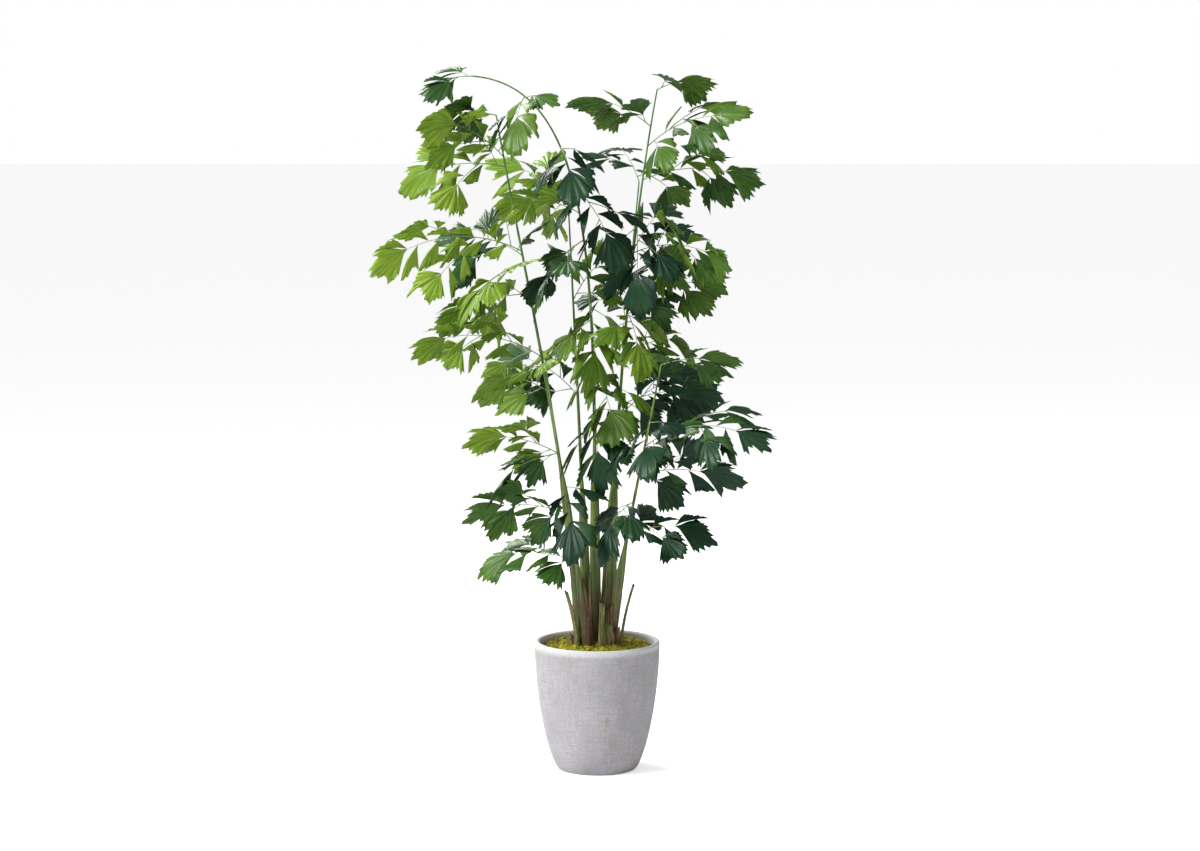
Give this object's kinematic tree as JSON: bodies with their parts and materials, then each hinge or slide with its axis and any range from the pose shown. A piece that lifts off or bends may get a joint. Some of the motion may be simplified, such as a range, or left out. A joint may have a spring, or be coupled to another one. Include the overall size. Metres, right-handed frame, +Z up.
{
  "type": "potted fishtail palm",
  "caption": "Tall clumping palm with fishtail-shaped leaflets on arching sprays, planted through moss in a tapered round pot.",
  "frame": {"origin": "centre of the pot's flat underside", "axes": "+Z up along the plant, front towards -Y, +X to the viewer's right"},
  "size_m": [1.2016, 0.9535, 2.144],
  "materials": {
    "pot": "matte",
    "soil": "matte",
    "moss": "matte",
    "cane": "satin",
    "stub": "matte",
    "spray": "satin"
  },
  "bodies": {
    "root": {"pot": "pot", "soil": "soil", "moss": "moss", "cane_left": "cane", "cane_middle": "cane", "cane_right": "cane", "cane_front_right": "cane", "cane_front_left": "cane", "cane_back_left": "cane", "cane_back_right": "cane", "stub_left": "stub", "stub_right": "stub", "stub_front": "stub", "spray_left_1": "spray", "spray_left_2": "spray", "spray_left_3": "spray", "spray_left_4": "spray", "spray_left_5": "spray", "spray_left_6": "spray", "spray_left_7": "spray", "spray_left_8": "spray", "spray_left_9": "spray", "spray_left_10": "spray", "spray_middle_1": "spray", "spray_middle_2": "spray", "spray_middle_3": "spray", "spray_middle_4": "spray", "spray_middle_5": "spray", "spray_middle_6": "spray", "spray_middle_7": "spray", "spray_middle_8": "spray", "spray_middle_9": "spray", "spray_right_1": "spray", "spray_right_2": "spray", "spray_right_3": "spray", "spray_right_4": "spray", "spray_right_5": "spray", "spray_right_6": "spray", "spray_right_7": "spray", "spray_right_8": "spray", "spray_right_9": "spray", "spray_right_10": "spray", "spray_front_right_1": "spray", "spray_front_right_2": "spray", "spray_front_right_3": "spray", "spray_front_right_4": "spray", "spray_front_right_5": "spray", "spray_front_right_6": "spray", "spray_front_left_1": "spray", "spray_front_left_2": "spray", "spray_front_left_3": "spray", "spray_front_left_4": "spray", "spray_front_left_5": "spray", "spray_back_left_1": "spray", "spray_back_left_2": "spray", "spray_back_left_3": "spray", "spray_back_right_1": "spray", "spray_back_right_2": "spray", "spray_back_right_3": "spray", "spray_back_right_4": "spray"}
  },
  "joints": []
}
